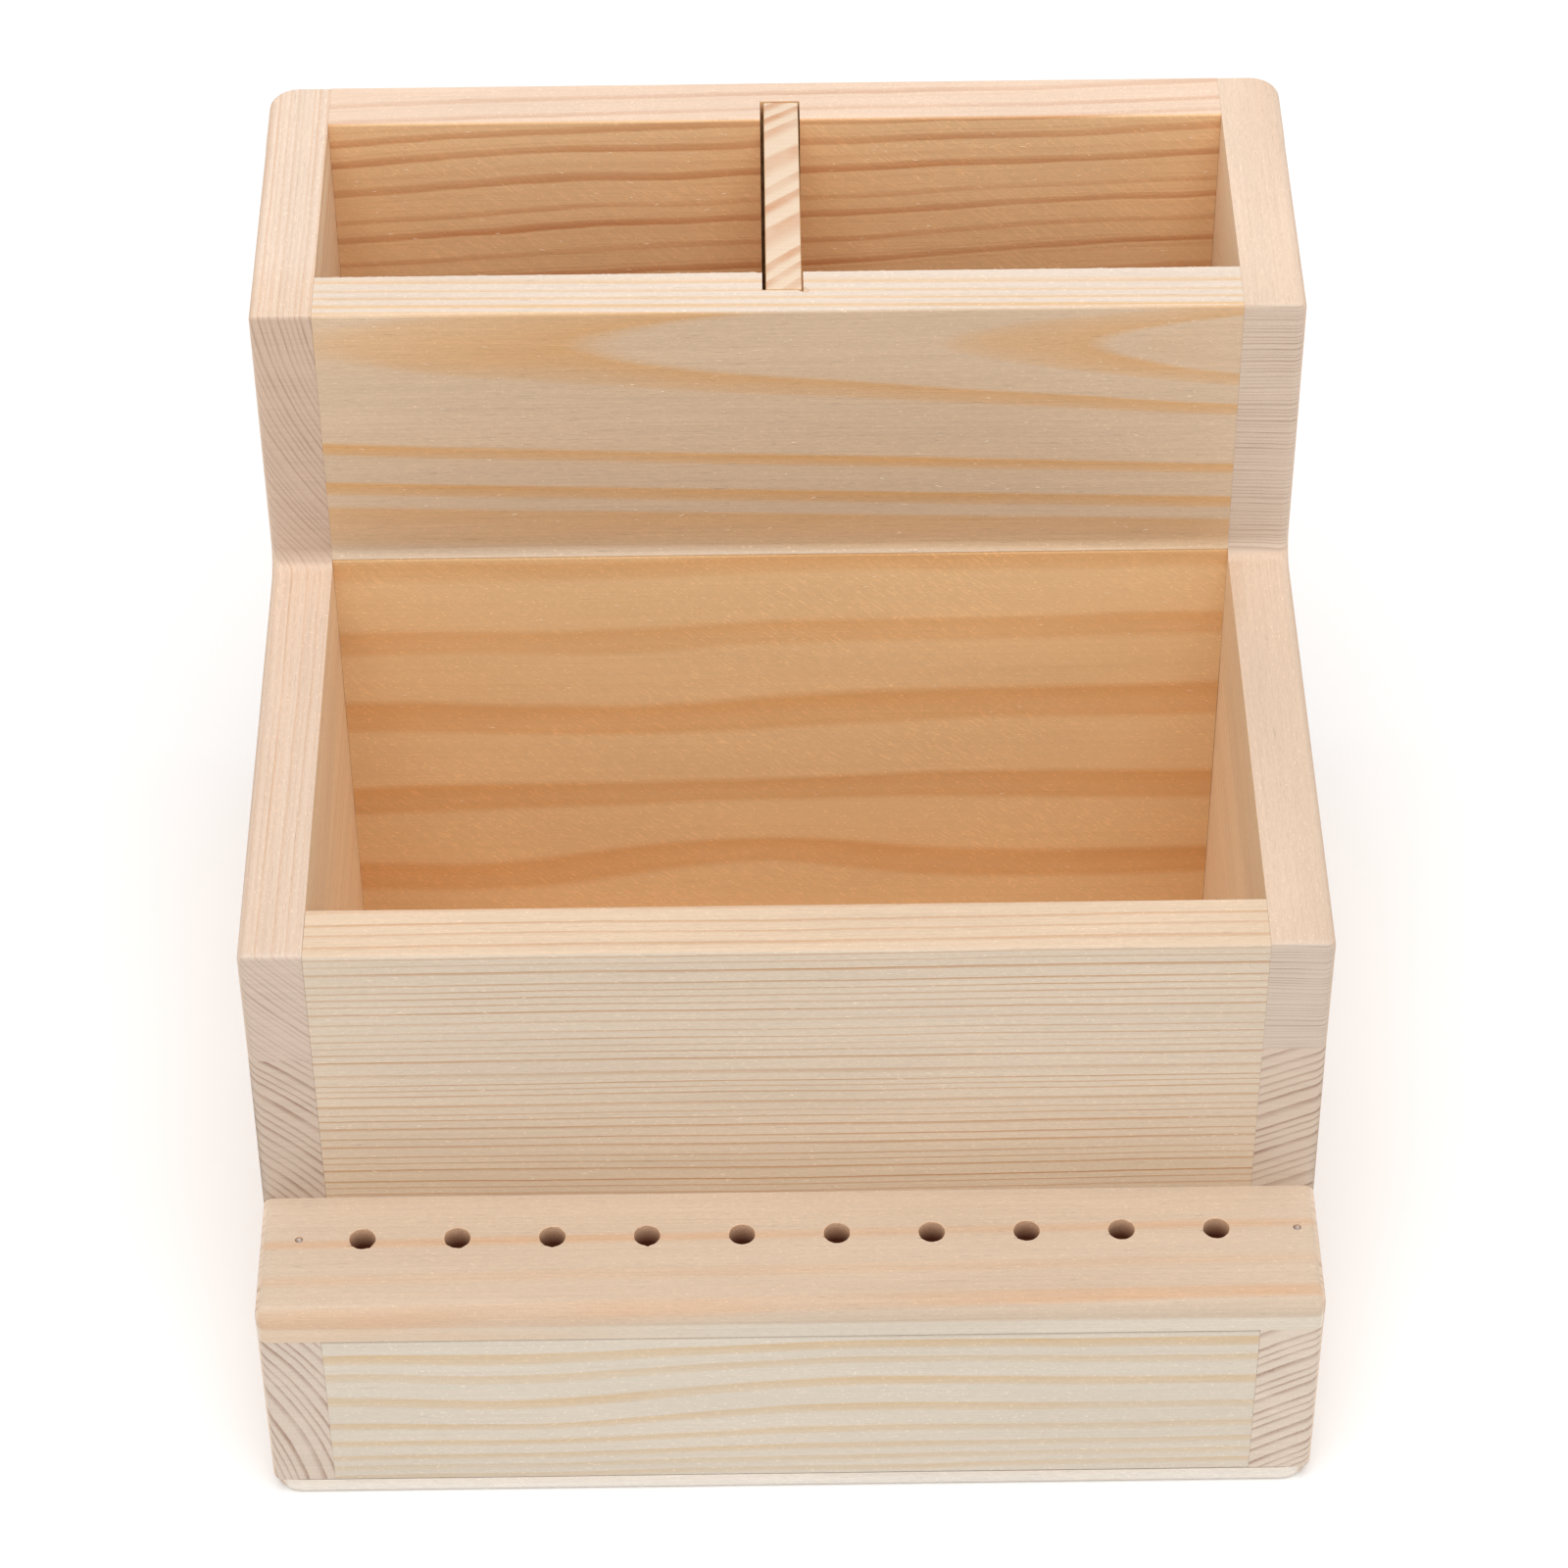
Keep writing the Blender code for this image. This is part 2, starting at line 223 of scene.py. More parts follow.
# Late wood through one year, from the pith side (0) to the bark side (1)
THIN_RING = ((0.0, 0.0), (0.70, 0.03), (0.88, 0.85), (0.94, 1.0), (1.0, 0.0))
SOFT_RING = ((0.0, 0.05), (0.35, 0.10), (0.78, 0.65), (0.93, 1.0), (1.0, 0.05))
END_RING = ((0.0, 0.05), (0.55, 0.1), (0.84, 0.95), (0.94, 1.0), (1.0, 0.05))
WIDE_END_RING = ((0.0, 0.0), (0.35, 0.10), (0.62, 0.9), (0.90, 1.0), (1.0, 0.0))


def grain_point(g, axis):
    """The point in millimetres, turned so that X runs along the grain, and how the surface faces."""
    coords = g.add("ShaderNodeTexCoord")
    point = g.vector("MULTIPLY", coords.outputs["Object"], (1000.0, 1000.0, 1000.0))
    split = g.add("ShaderNodeSeparateXYZ", {"Vector": point})
    order = ("XYZ", "YXZ", "ZXY")[axis]
    parts = {target: split.outputs[source] for target, source in zip("XYZ", order)}
    facing = g.add("ShaderNodeSeparateXYZ", {"Vector": coords.outputs["Normal"]}).outputs
    return g.add("ShaderNodeCombineXYZ", parts).outputs[0], split.outputs, facing


def pith_distance(g, grain, spec):
    """Distance from the tree's centre line, which wanders and leans along the board.

    A swell (place, spread, rise) moves the rings about a place by its rise, all in millimetres.
    """
    wave = spec["wave"]
    slow = g.noise(grain, (0.010, 0.022, 0.022), 1.0, shift=spec["seed"] + 3.1, output="Color")
    quick = g.noise(grain, (0.045, 0.13, 0.13), 2.0, shift=spec["seed"] + 7.7, output="Color")
    centre = (0.5, 0.5, 0.5)
    slow = g.vector("MULTIPLY", g.vector("SUBTRACT", slow, centre), (0.0, wave * 3.2, wave * 3.2))
    quick = g.vector("MULTIPLY", g.vector("SUBTRACT", quick, centre), (0.0, wave * 0.7, wave * 0.7))
    bent = g.vector("ADD", g.vector("ADD", grain, slow), quick)
    along = g.add("ShaderNodeSeparateXYZ", {"Vector": grain}).outputs["X"]
    lean = g.add(
        "ShaderNodeCombineXYZ",
        {
            "Y": g.math("MULTIPLY_ADD", along, spec["drift"][0], spec["pith"][0]),
            "Z": g.math("MULTIPLY_ADD", along, spec["drift"][1], spec["pith"][1]),
        },
    ).outputs[0]
    radial = g.vector("MULTIPLY", g.vector("SUBTRACT", bent, lean), (0.0, 1.0, 1.0))
    distance = g.vector("LENGTH", radial)
    for place, spread, rise in spec["swells"]:
        away = g.vector("DIVIDE", g.vector("SUBTRACT", grain, place), spread)
        bump = g.math("EXPONENT", g.math("MULTIPLY", g.vector("DOT_PRODUCT", away, away), -1.0))
        distance = g.math("MULTIPLY_ADD", bump, -rise, distance)
    return distance


def band_level(g, distance, bands):
    """Listed bands over the pith distance: (crisp edge, width, edge softness, strength).

    A band fades towards the pith from its crisp edge, or away from it if its width is negative.
    """
    low = min(edge - abs(width) for edge, width, *_ in bands) - 1.0
    high = max(edge + abs(width) for edge, width, *_ in bands) + 1.0
    stops = []
    for edge, width, soft, strength in sorted(bands):
        crisp = soft if width > 0 else -soft
        shape = ((-width, 0.0), (-0.75 * width, 0.62), (-crisp, 1.0), (crisp, 0.0))
        for place, level in sorted(shape):
            stops.append(((edge + place - low) / (high - low), level * strength))
    return g.ramp(g.between(distance, low, high), stops)


def ring_levels(g, grain, spec):
    """Late wood at each point: on the board's long faces, and as the finer rings of its ends."""
    distance = pith_distance(g, grain, spec)
    phase = g.math("DIVIDE", distance, spec["spacing"])
    uneven = g.add("ShaderNodeTexNoise", {"Scale": 1.0, "Detail": 0.0}, noise_dimensions="1D")
    g.put(uneven.inputs["W"], g.math("MULTIPLY_ADD", phase, 0.35, spec["seed"]))
    phase = g.math("MULTIPLY_ADD", uneven.outputs["Fac"], 1.4, phase)
    year = g.add("ShaderNodeTexWhiteNoise", noise_dimensions="1D")
    g.put(year.inputs["W"], g.math("ADD", g.math("FLOOR", phase), spec["seed"]))
    profile = g.ramp(g.math("FRACT", phase), THIN_RING if spec["thin"] else SOFT_RING)
    strength = g.between(year.outputs["Value"], 0.0, 1.0, spec["faint"], 1.0)
    patchy = g.noise(grain, (0.02, 0.12, 0.12), 2.0, shift=spec["seed"] + 1.3)
    fading = g.between(patchy, 0.3, 0.65, spec["steady"], 1.0)
    ring = g.math("MULTIPLY", g.math("MULTIPLY", profile, strength), fading)
    late = g.math("MULTIPLY", ring, spec["rings"])
    fine = g.ramp(g.math("FRACT", phase), WIDE_END_RING if spec["end_wide"] else END_RING)
    even = g.between(strength, 0.25, 1.0, 0.4, 1.0)
    ring = g.math("MULTIPLY", g.math("MULTIPLY", fine, even), fading)
    for first in range(0, len(spec["bands"]), BANDS_PER_RAMP):
        level = band_level(g, distance, spec["bands"][first : first + BANDS_PER_RAMP])
        late = g.math("MAXIMUM", late, g.math("MULTIPLY", level, fading))
    return late, ring


def sanding(g, grain, seed):
    """Patches of fine scratches that run down to the right across the grain."""
    slope = {"Vector": grain, "Angle": -0.7}
    turned_point = g.add("ShaderNodeVectorRotate", slope, rotation_type="Y_AXIS").outputs[0]
    lines = g.noise(turned_point, (0.25, 4.0, 4.0), 2.0, 0.6, shift=seed + 37.0)
    patches = g.noise(grain, (0.03, 0.05, 0.05), 1.0, shift=seed + 41.0)
    return g.math("MULTIPLY", g.between(lines, 0.52, 0.68), g.between(patches, 0.35, 0.6, 0.35, 1.0))


def tinted(g, colour, source, rows):
    """Multiply in each row's tint as the source's axis goes from the start to the finish value. Most rows
    paint light and shade.
    """
    for axis, start, finish, tint in rows:
        share = g.between(source[axis], start, finish, smooth=True)
        colour = g.mix(share, colour, g.vector("MULTIPLY", colour, tint))
    return colour


def wood(name, **given):
    """Sawn and sanded pine with rings, fibres, pores, scratches and a different look on its ends. The tints
    paint light and shade by facing, and most zones by place.
    """
    spec = {**BASE_WOOD, **given}
    seed = spec["seed"]
    g = Graph(name)
    grain, place, facing = grain_point(g, spec["axis"])
    across = g.math("ABSOLUTE", facing["XYZ"[spec["axis"]]])
    late, ring = ring_levels(g, grain, spec)
    mottle = g.noise(grain, (0.012, 0.07, 0.07), 3.0, shift=seed + 11.0)
    streak = g.noise(grain, (0.022, 2.1, 2.1), 3.0, 0.6, shift=seed + 13.0)
    fibre_level = g.noise(grain, (0.55, 4.6, 4.6), 4.0, 0.65, shift=seed + 17.0)
    pore = g.between(g.noise(grain, (0.22, 3.3, 3.3), 2.0, 0.5, shift=seed + 19.0), 0.67, 0.76)
    dash = g.between(g.noise(grain, (0.06, 4.5, 4.5), 1.0, 0.5, shift=seed + 43.0), 0.64, 0.74)
    dash = g.math("MULTIPLY", dash, g.math("MULTIPLY_ADD", late, 0.7, 0.3))
    fleck = g.between(g.noise(grain, (1.3, 3.2, 3.2), 1.0, 0.5, shift=seed + 23.0), 0.66, 0.74)

    amount = spec["fibre"]
    if spec["top_rings"]:
        on_top = g.between(facing["Z"], 0.5, 0.85, 0.0, spec["top_rings"], smooth=True)
        late = g.math("MAXIMUM", late, g.math("MULTIPLY", ring, on_top))
    if spec["top_late"] < 1.0:
        weaker = g.between(facing["Z"], 0.5, 0.85, 1.0, spec["top_late"], smooth=True)
        late = g.math("MULTIPLY", late, weaker)
    colour = g.mix(late, spec["early"], spec["late"])
    colour = g.shade(colour, g.between(mottle, 0.3, 0.7, 0.96, 1.04))
    colour = g.shade(colour, g.between(streak, 0.3, 0.7, 1 - 0.045 * amount, 1 + 0.045 * amount))
    colour = g.shade(colour, g.between(fibre_level, 0.3, 0.7, 1 - 0.075 * amount, 1 + 0.075 * amount))
    colour = g.shade(colour, g.between(pore, 0.0, 1.0, 1.0, 1 - 0.18 * amount))
    colour = g.shade(colour, g.between(fleck, 0.0, 1.0, 1.0, 1 + 0.22 * spec["flecks"]))
    colour = g.shade(colour, g.between(dash, 0.0, 1.0, 1.0, 1.16))
    hatch = sanding(g, grain, seed)
    colour = g.shade(colour, g.between(hatch, 0.0, 1.0, 1.0, 1 + 0.12 * spec["hatch"]))
    # Painted light and shade: each face made lighter, darker or of another hue by the way it points.
    colour = tinted(g, colour, facing, spec["tints"])

    speck = g.noise(grain, (0.5, 4.2, 4.2), 4.0, 0.75, shift=seed + 29.0)
    kerf = g.noise(grain, (0.1, 0.05, 2.2), 3.0, 0.6, shift=seed + 31.0)
    dotted = g.between(speck, 0.35, 0.6, 0.35, 1.0)
    lines = g.math("MULTIPLY", g.math("MULTIPLY", ring, dotted), spec["end_rings"])
    end = g.mix(lines, spec["end_early"], spec["end_late"])
    end = g.shade(end, g.between(speck, 0.3, 0.7, 0.86, 1.10))
    end = g.shade(end, g.between(kerf, 0.3, 0.7, 0.95, 1.05))
    end_share = g.between(across, 0.45, 0.8, smooth=True)
    colour = g.mix(end_share, colour, end)
    # Zones by place: mostly painted light and shade over parts of the board.
    colour = tinted(g, colour, place, spec["zones"])
    g.put(g.shader.inputs["Base Color"], colour)

    rough = g.between(fibre_level, 0.2, 0.8, 0.70, 0.58)
    rough = g.math("MULTIPLY_ADD", end_share, 0.12, rough)
    g.put(g.shader.inputs["Roughness"], g.math("MULTIPLY_ADD", late, -0.06, rough))
    g.shader.inputs["Specular IOR Level"].default_value = 0.35

    lengthwise = g.math("MULTIPLY_ADD", fibre_level, 0.8, g.math("MULTIPLY", streak, 0.8))
    lengthwise = g.math("MULTIPLY_ADD", late, 0.25, lengthwise)
    lengthwise = g.math("MULTIPLY_ADD", pore, -0.5, lengthwise)
    endwise = g.math("MULTIPLY_ADD", speck, 0.9, g.math("MULTIPLY", kerf, 0.8))
    height = g.add("ShaderNodeMix", {"Factor": end_share, "A": lengthwise, "B": endwise}, data_type="FLOAT")
    bump = g.add("ShaderNodeBump", {"Strength": 0.5, "Distance": 0.12 * MM, "Height": height.outputs[0]})
    g.put(g.shader.inputs["Normal"], bump.outputs["Normal"])
    return g.material


def bored(name, shade_below=None):
    """The rough wall that a drill or a punch leaves. If a height in mm is given, painted shade darkens it
    downwards from the top to dark brown at that height and below.
    """
    g = Graph(name)
    point = g.vector("MULTIPLY", g.add("ShaderNodeTexCoord").outputs["Object"], (1000.0, 1000.0, 1000.0))
    swirl = g.noise(point, (0.8, 0.8, 5.0), 3.0, 0.6, shift=3.0)
    torn = g.noise(point, (3.5, 3.5, 3.5), 3.0, 0.7, shift=5.0)
    colour = g.mix(g.between(swirl, 0.3, 0.7), srgb(244, 200, 162), srgb(250, 218, 186))
    colour = g.shade(colour, g.between(torn, 0.3, 0.7, 0.8, 1.12))
    # Painted shade: darker towards the bottom of the hole, where little light reaches.
    if shade_below:
        level = g.add("ShaderNodeSeparateXYZ", {"Vector": point}).outputs["Z"]
        daylight = g.between(level, shade_below, RAIL_HIGH.z / MM)
        colour = g.mix(daylight, srgb(128, 72, 48), colour)
    g.put(g.shader.inputs["Base Color"], colour)
    g.put(g.shader.inputs["Roughness"], g.between(torn, 0.2, 0.8, 0.9, 0.75))
    g.shader.inputs["Specular IOR Level"].default_value = 0.2
    height = g.math("ADD", swirl, torn)
    bump = g.add("ShaderNodeBump", {"Strength": 0.7, "Distance": 0.15 * MM, "Height": height})
    g.put(g.shader.inputs["Normal"], bump.outputs["Normal"])
    return g.material


def steel():
    """Dull drawn wire, darker and browner where the head has taken a stain."""
    g = Graph("brad_steel")
    point = g.vector("MULTIPLY", g.add("ShaderNodeTexCoord").outputs["Object"], (1000.0, 1000.0, 1000.0))
    stain = g.noise(point, (1.4, 1.4, 1.4), 3.0, 0.6)
    pit = g.noise(point, (7.0, 7.0, 7.0), 2.0)
    colour = g.mix(g.between(stain, 0.35, 0.65), srgb(216, 206, 200), srgb(158, 134, 118))
    g.put(g.shader.inputs["Base Color"], g.shade(colour, g.between(pit, 0.3, 0.7, 0.8, 1.1)))
    g.put(g.shader.inputs["Roughness"], g.between(stain, 0.3, 0.7, 0.38, 0.6))
    g.shader.inputs["Metallic"].default_value = 0.5
    bump = g.add("ShaderNodeBump", {"Strength": 0.4, "Distance": 0.05 * MM, "Height": pit})
    g.put(g.shader.inputs["Normal"], bump.outputs["Normal"])
    return g.material


# ---------------------------------------------------------------- meshes


def same(a, b):
    return abs(a - b) < TOUCH


def arc(centre, radius, start, end, steps):
    """Points of an arc in the YZ plane, with its angles in degrees from +Y towards +Z."""
    angles = [math.radians(start + (end - start) * step / steps) for step in range(steps + 1)]
    return [(centre[0] + radius * math.cos(a), centre[1] + radius * math.sin(a)) for a in angles]


def prism(outline, low_x, high_x):
    """A solid with its outline in the YZ plane, running from low_x to high_x."""
    bm = bmesh.new()
    face = bm.faces.new([bm.verts.new((low_x, y, z)) for y, z in outline])
    grown = bmesh.ops.extrude_face_region(bm, geom=[face])
    moved = [item for item in grown["geom"] if isinstance(item, bmesh.types.BMVert)]
    bmesh.ops.translate(bm, verts=moved, vec=(high_x - low_x, 0.0, 0.0))
    bmesh.ops.recalc_face_normals(bm, faces=bm.faces)
    return bm


def block(low, high):
    outline = [(low[1], low[2]), (high[1], low[2]), (high[1], high[2]), (low[1], high[2])]
    return prism(outline, low[0], high[0])


def round_off(bm, edges, radius):
    bmesh.ops.bevel(bm, geom=edges, offset=radius, segments=CORNER_SEGMENTS, profile=0.5, affect="EDGES")


def slice_up(bm, axis, step=SLICE):
    """Cut the solid across an axis every step, so that its long edges can be less than perfect."""
    places = [vert.co[axis] for vert in bm.verts]
    low, high = min(places), max(places)
    count = int((high - low) / step)
    normal = [0.0, 0.0, 0.0]
    normal[axis] = 1.0
    for index in range(1, count):
        point = [0.0, 0.0, 0.0]
        point[axis] = low + (high - low) * index / count
        if min(abs(place - point[axis]) for place in places) < SLICE_CLEARANCE:
            continue
        geom = bm.verts[:] + bm.edges[:] + bm.faces[:]
        bmesh.ops.bisect_plane(bm, geom=geom, plane_co=point, plane_no=normal)


def mark(bm, radius_of, largest):
    """Store each edge's radius as a bevel weight. radius_of reads the edge's two end points."""
    weights = bm.edges.layers.float.new("bevel_weight_edge")
    for edge in bm.edges:
        edge[weights] = radius_of(edge.verts[0].co, edge.verts[1].co) / largest


def smooth_noise(point):
    """Noise for each axis. It reads noise.noise, because noise.noise_vector differs between runs."""
    offsets = ((11.3, 5.7, 2.9), (37.1, 19.4, 8.3), (71.9, 43.6, 23.8))
    return Vector([noise.noise(point + Vector(offset)) for offset in offsets])


def hand_finish(bm, amount, seed):
    """Move every corner by smooth noise, but never out of the board's own box."""
    places = [vert.co for vert in bm.verts]
    low = Vector([min(place[axis] for place in places) for axis in range(3)])
    high = Vector([max(place[axis] for place in places) for axis in range(3)])
    for vert in bm.verts:
        shift = smooth_noise(vert.co * 38.0 + Vector((seed, seed * 1.9, 0.0))) * amount
        moved = vert.co + shift
        vert.co = [min(max(moved[axis], low[axis]), high[axis]) for axis in range(3)]


def add_object(name, bm, slot_index=0):
    """A mesh object in the scene. slot_index is the material slot that all its faces take."""
    for face in bm.faces:
        face.material_index = slot_index
    mesh = bpy.data.meshes.new(name)
    bm.to_mesh(mesh)
    bm.free()
    obj = bpy.data.objects.new(name, mesh)
    bpy.context.scene.collection.objects.link(obj)
    return obj


def soften(obj, largest, segments):
    """Round each edge by its share of the largest radius."""
    bevel = obj.modifiers.new("rounded_edges", "BEVEL")
    bevel.limit_method = "WEIGHT"
    bevel.width = largest
    bevel.segments = segments
    bevel.use_clamp_overlap = False


def carve(obj, cutter):
    """Cut a shape out. The new faces keep the cutter's material slot number."""
    while len(obj.data.materials) < 2:
        obj.data.materials.append(None)
    boolean = obj.modifiers.new(cutter.name, "BOOLEAN")
    boolean.operation = "DIFFERENCE"
    boolean.solver = "EXACT"
    boolean.material_mode = "INDEX"
    boolean.object = cutter


def settle(obj, angle=40.0):
    """Apply the modifiers, then shade curves smooth and keep the flats flat."""
    bpy.context.view_layer.update()
    applied = obj.evaluated_get(bpy.context.evaluated_depsgraph_get())
    mesh = bpy.data.meshes.new_from_object(applied)
    mesh.name = obj.name
    obj.modifiers.clear()
    obj.data = mesh
    mesh.shade_smooth()
    mesh.set_sharp_from_angle(angle=math.radians(angle))
    weighted = obj.modifiers.new("flat_faces", "WEIGHTED_NORMAL")
    weighted.keep_sharp = True
    weighted.weight = 100


def finish_piece(obj, materials, body, slot, *nodes):
    """Give a board its materials (surface, then cut faces) and its body, and hide its CAD nodes. The slot is
    not used.
    """
    cut = [polygon.material_index for polygon in obj.data.polygons]
    obj.data.materials.clear()
    for material in materials[: max(cut) + 1]:
        obj.data.materials.append(material)
    obj.data.polygons.foreach_set("material_index", cut)
    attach(obj, body)
    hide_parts(*nodes)


# ---------------------------------------------------------------- boards


def side_outline(lower):
    """Side view of a side panel's lower plank or of its upper plank with the coved step."""
    back = BACK_HIGH.y
    tray = TRAY_LOW.y
    if lower:
        seam = LEFT_HIGH.z
        front = RAIL_LOW.y
        ledge = [(tray, RAIL_SEAT_Z), (front, RAIL_SEAT_Z)]
        return [(back, SIDE_FOOT_Z), (back, seam), (tray, seam), *ledge, (front, SIDE_FOOT_Z)]
    cove = arc(STEP_CENTRE, STEP_RADIUS, -90, 0, COVE_STEPS)
    top = BACK_HIGH.z
    foot = [(back, UPPER_FOOT_Z), (tray, UPPER_FOOT_Z)]
    return [*foot, (tray, TRAY_HIGH.z), *cove, (REAR_TIER_Y, top), (back, top)]


def side_plank(side, lower, seed):
    direction = -1 if side == "left" else 1
    low_x = LEFT_LOW.x if side == "left" else RIGHT_LOW.x
    outline = side_outline(lower)
    glued = (LEFT_HIGH.z, SIDE_FOOT_Z, RAIL_SEAT_Z) if lower else (UPPER_FOOT_Z,)
    outer_x = low_x if side == "left" else low_x + BOARD
    back_y = BACK_HIGH.y
    corner_x = outer_x - direction * BACK_CORNER_RADIUS
    corner_y = back_y - BACK_CORNER_RADIUS

    def in_corner(point):
        return point.y > corner_y - TOUCH and (point.x - corner_x) * direction > -TOUCH

    def radius_of(a, b):
        level = same(a.z, b.z)
        if level and any(same(a.z, z) for z in glued):
            return 0.0
        if in_corner(a) and in_corner(b):
            turn = math.atan2((a.y + b.y) / 2 - corner_y, ((a.x + b.x) / 2 - corner_x) * direction)
            return ARRIS_RADIUS + (EASED_EDGE - ARRIS_RADIUS) * turn / (math.pi / 2) if level else 0.0
        if level and same(a.y, back_y) and same(b.y, back_y):
            return EASED_EDGE
        if same(a.x, outer_x) and same(b.x, outer_x):
            return ARRIS_RADIUS
        if not (level and same(a.y, b.y)):
            return 0.0
        tray_edge = same(a.y, TRAY_LOW.y) and same(a.z, TRAY_HIGH.z)
        rear_edge = same(a.y, REAR_TIER_Y) and same(a.z, BACK_HIGH.z)
        return RIM_EDGE if tray_edge or rear_edge else 0.0

    bm = prism(outline, low_x, low_x + BOARD)
    upright = [edge for edge in bm.edges if not same(edge.verts[0].co.z, edge.verts[1].co.z)]
    outer = [e for e in upright if all(same(v.co.x, outer_x) and same(v.co.y, back_y) for v in e.verts)]
    round_off(bm, outer, BACK_CORNER_RADIUS)
    slice_up(bm, 1)
    mark(bm, radius_of, ARRIS_RADIUS)
    hand_finish(bm, HAND_FINISH, seed)
    name = f"{side}_panel_{'lower' if lower else 'upper'}"
    plank = add_object(name, bm)
    soften(plank, ARRIS_RADIUS, 5)
    return plank


def cross_board(name, node, seed, outline=None, drop=0.0):
    """A board between the side panels, with its exposed long edges eased."""
    low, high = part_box(node)
    low_x = LEFT_HIGH.x + GLUE_LINE
    high_x = RIGHT_LOW.x - GLUE_LINE
    base = low.z - drop
    outline = outline or [(high.y, base), (low.y, base), (low.y, high.z), (high.y, high.z)]

    def radius_of(a, b):
        if not (same(a.z, high.z) and same(b.z, high.z) and same(a.y, b.y)):
            return 0.0
        return RIM_EDGE if same(a.y, min(place[0] for place in outline[-2:])) else EASED_EDGE

    bm = prism(outline, low_x, high_x)
    slice_up(bm, 0)
    mark(bm, radius_of, RIM_EDGE)
    hand_finish(bm, HAND_FINISH, seed)
    board = add_object(name, bm)
    soften(board, RIM_EDGE, 4)
    return board


def middle_upper():
    foot_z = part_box("middle_wall_lower_plank")[1].z + GLUE_LINE
    foot_angle = math.degrees(math.asin((foot_z - STEP_CENTRE[1]) / STEP_RADIUS))
    cove = arc(STEP_CENTRE, STEP_RADIUS, foot_angle, 0, COVE_STEPS)
    top = MIDDLE_HIGH.z
    outline = [(MIDDLE_HIGH.y, foot_z), *cove, (REAR_TIER_Y, top), (MIDDLE_HIGH.y, top)]
    return cross_board("middle_upper", "middle_wall_upper_plank", 5.0, outline=outline)


def rail():
    low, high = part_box("holed_rail")

    def radius_of(a, b):
        in_front = same(a.y, low.y) and same(b.y, low.y)
        on_top = same(a.z, high.z) and same(b.z, high.z)
        at_end = same(a.x, b.x) and (same(a.x, low.x) or same(a.x, high.x))
        if in_front and on_top:
            return RAIL_NOSE_RADIUS
        return ARRIS_RADIUS if at_end and (in_front or on_top) else 0.0

    bm = block(low, (high.x, TRAY_LOW.y - GLUE_LINE, high.z))
    slice_up(bm, 0)
    mark(bm, radius_of, RAIL_NOSE_RADIUS)
    hand_finish(bm, HAND_FINISH * 0.5, 8.0)
    board = add_object("rail", bm)
    soften(board, RAIL_NOSE_RADIUS, 8)
    return board


def bottom():
    low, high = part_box("bottom_board")
    bm = block(low, high)
    upright = [edge for edge in bm.edges if not same(edge.verts[0].co.z, edge.verts[1].co.z)]
    round_off(bm, upright, BOTTOM_CORNER_RADIUS)
    slice_up(bm, 0)
    slice_up(bm, 1)

    def radius_of(a, b):
        on_rim = all(
            same(p.x, low.x) or same(p.x, high.x) or same(p.y, low.y) or same(p.y, high.y)
            or (abs(p.x) > high.x - BOTTOM_CORNER_RADIUS and abs(p.y) > high.y - BOTTOM_CORNER_RADIUS)
            for p in (a, b)
        )
        return BOTTOM_ARRIS_RADIUS if on_rim and same(a.z, low.z) and same(b.z, low.z) else 0.0

    mark(bm, radius_of, BOTTOM_ARRIS_RADIUS)
    hand_finish(bm, HAND_FINISH * 0.5, 9.0)
    board = add_object("bottom", bm)
    soften(board, BOTTOM_ARRIS_RADIUS, 3)
    return board


def divider():
    low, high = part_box("divider")
    bm = block(low, high)
    slice_up(bm, 2)
    mark(bm, lambda a, b: EASED_EDGE, EASED_EDGE)
    weights = bm.edges.layers.float["bevel_weight_edge"]
    for edge in bm.edges:
        if len(edge.link_faces) != 2 or edge.calc_face_angle(0.0) < 0.5:
            edge[weights] = 0.0
    board = add_object("loose_divider", bm)
    soften(board, EASED_EDGE, 2)
    return board


# ---------------------------------------------------------------- cutters


def groove_cutter():
    """One bar that opens both grooves of the loose divider."""
    low = (GROOVE_LOW_X, MIDDLE_HIGH.y - GROOVE_DEPTH, -10 * MM)
    high = (GROOVE_HIGH_X, BACK_LOW.y + GROOVE_DEPTH, BACK_HIGH.z + 10 * MM)
    return add_object("groove_cutter", block(low, high))


def turned(bm, centre, profile, sides, wobble=0.0, draw=None):
    """A closed upright shape turned from (radius, height) points, its ends capped."""
    rings = []
    for radius, height in profile:
        ring = []
        for side in range(sides):
            angle = 2 * math.pi * side / sides
            grown = radius * (1 + (draw.uniform(-wobble, wobble) if draw else 0.0))
            ring.append(bm.verts.new((grown * math.cos(angle), grown * math.sin(angle), height)))
        rings.append(ring)
    for below, above in zip(rings, rings[1:]):
        for side in range(sides):
            following = (side + 1) % sides
            bm.faces.new((below[side], below[following], above[following], above[side]))
    bm.faces.new(list(reversed(rings[0])))
    bm.faces.new(rings[-1])
    verts = [vert for ring in rings for vert in ring]
    bmesh.ops.transform(bm, matrix=centre, verts=verts)


def hole_cutter():
    """Ten tool holes, each with a slightly broken rim."""
    bm = bmesh.new()
    draw = random.Random(21)
    top = RAIL_HIGH.z
    for index in range(HOLE_COUNT):
        x = HOLE_SPAN * (index / (HOLE_COUNT - 1) - 0.5)
        profile = [
            (HOLE_RADIUS, RAIL_LOW.z - 3 * MM),
            (HOLE_RADIUS, top - HOLE_CHAMFER),
            (HOLE_RADIUS + HOLE_CHAMFER * 2, top + HOLE_CHAMFER),
        ]
        turned(bm, Matrix.Translation((x, HOLE_Y, 0.0)), profile, 44, 0.012, draw)
    return add_object("hole_cutter", bm, 1)


